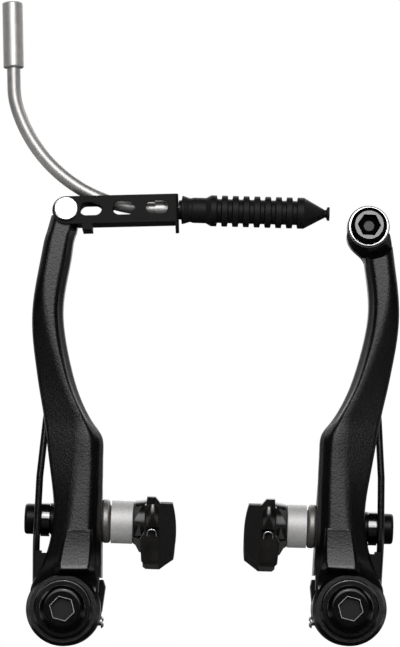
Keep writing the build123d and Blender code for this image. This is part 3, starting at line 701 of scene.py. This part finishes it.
# %% Floor
floor_z = -0.16
floor_reach = 3.0
card_edge = (300.0, 450.0)  # the strip fades out between these, in millimetres from the middle
floor_glow = 0.40

corners = [(x * floor_reach, y * floor_reach, floor_z) for x, y in ((-1, -1), (1, -1), (1, 1), (-1, 1))]
floor_mesh = bpy.data.meshes.new("floor")
floor_mesh.from_pydata(corners, [], [(0, 1, 2, 3)])
floor = add("floor", floor_mesh)

floor_white = Finish("floor_white", Roughness=0.9, Emission_Strength=1.0)
floor_x, _, _ = floor_white.xyz()
floor_ray = floor_white.outputs("ShaderNodeLightPath")
floor_pale = floor_white.blend(floor_white.cloud(40.0), grey(0.78), grey(0.82))
card = floor_ray["Is Glossy Ray"] * (1 - abs(floor_x).eased(*card_edge))
floor_white.feed("Base Color", floor_white.blend(card, floor_pale, grey(0.008)))
glow = floor_white.blend(floor_ray["Is Camera Ray"], grey(0.0), grey(floor_glow))
floor_white.feed("Emission Color", glow)
floor.data.materials.append(floor_white.material)
print("floor at", floor_z, "m")

# %% [markdown]
# ## The world
# The background is plain white to the camera. If it lit the brake from all round as well, the
# black finishes would look grey. So it gives the brake only a faint even light, and reflections
# see its white where it lies well behind the brake, and near black elsewhere.

# %% World
even_light = 0.15
dim_reflection = 0.008
backdrop_from = (0.35, 0.75)  # how far a direction has to point to the back
horizon = (-0.06, 0.06)

world = bpy.data.worlds.new("studio")
bpy.context.scene.world = world
world.use_nodes = True
sky = Nodes(world.node_tree)
ray = sky.outputs("ShaderNodeLightPath")
towards = sky.node("ShaderNodeTexCoord", output="Generated")
direction = sky.outputs("ShaderNodeSeparateXYZ", None, {0: towards})
behind = direction["Y"].eased(*backdrop_from) * direction["Z"].eased(*horizon)
shiny = ray["Is Glossy Ray"].highest(ray["Is Transmission Ray"])
seen = ray["Is Camera Ray"].highest(shiny * behind)
ambient = even_light - shiny * (even_light - dim_reflection)
strength = ambient + seen * (1 - ambient)
backdrop = sky.tree.nodes["Background"]
backdrop.inputs["Color"].default_value = (1, 1, 1, 1)
sky.tree.links.new(strength.socket, backdrop.inputs["Strength"])
print("world ready")

# %% [markdown]
# ## The lamps
# One large soft lamp hangs above and in front, as in a product studio: flat faces that look at
# the camera or a little upwards catch it, and bevels that look sideways stay dark. A small lamp
# in its middle makes the sheen fall off towards the sides. Bare bulbs would give hard spots.
# Weaker lamps at the back and at both sides light what the camera doesn't see.

# %% Lamps, in metres and watts
brake_middle = Vector((0.0, 0.0, 0.07))


def softbox(name, at, width, height, watts):
    """A soft lamp that looks at the middle of the brake."""
    data = bpy.data.lights.new(name, "AREA")
    data.shape = "RECTANGLE"
    data.size = width
    data.size_y = height
    data.energy = watts
    lamp = add(name, data)
    lamp.location = at
    lamp.rotation_euler = (brake_middle - Vector(at)).to_track_quat("-Z", "Y").to_euler()


softbox("key", (0.0, -1.0, 0.53), width=0.82, height=0.80, watts=8.3)
softbox("key_centre", (0.0, -0.97, 0.51), width=0.12, height=0.12, watts=1.6)
softbox("back_fill", (0.0, 1.1, 0.9), width=1.4, height=0.9, watts=7.0)
softbox("left_fill", (-1.2, 0.2, 0.9), width=0.9, height=0.6, watts=3.0)
softbox("right_fill", (1.2, 0.2, 0.9), width=0.9, height=0.6, watts=3.0)
print("lamps:", len(bpy.data.lights))

# %% [markdown]
# ## The camera
# The photograph was taken from the front with a long lens, at the height of the pivots, so the
# top of the brake is seen a little from below. A short lens would show more of the insides of
# the arms than the photograph does.

# %% Camera, in metres
camera_x = -0.00176
camera_back = 0.85
camera_z = -0.006
aim_z = 0.0815

optics = bpy.data.cameras.new("front_camera")
optics.lens = 165.87
optics.sensor_width = 36.0
optics.clip_start = 0.05
optics.clip_end = 20.0
camera = add("front_camera", optics)
camera.location = (camera_x, -camera_back, camera_z)
aim = Vector((camera_x, 0.0, aim_z))
camera.rotation_euler = (aim - camera.location).to_track_quat("-Z", "Y").to_euler()
bpy.context.scene.camera = camera
bpy.context.scene.view_settings.view_transform = "Standard"
print("camera at", tuple(camera.location))
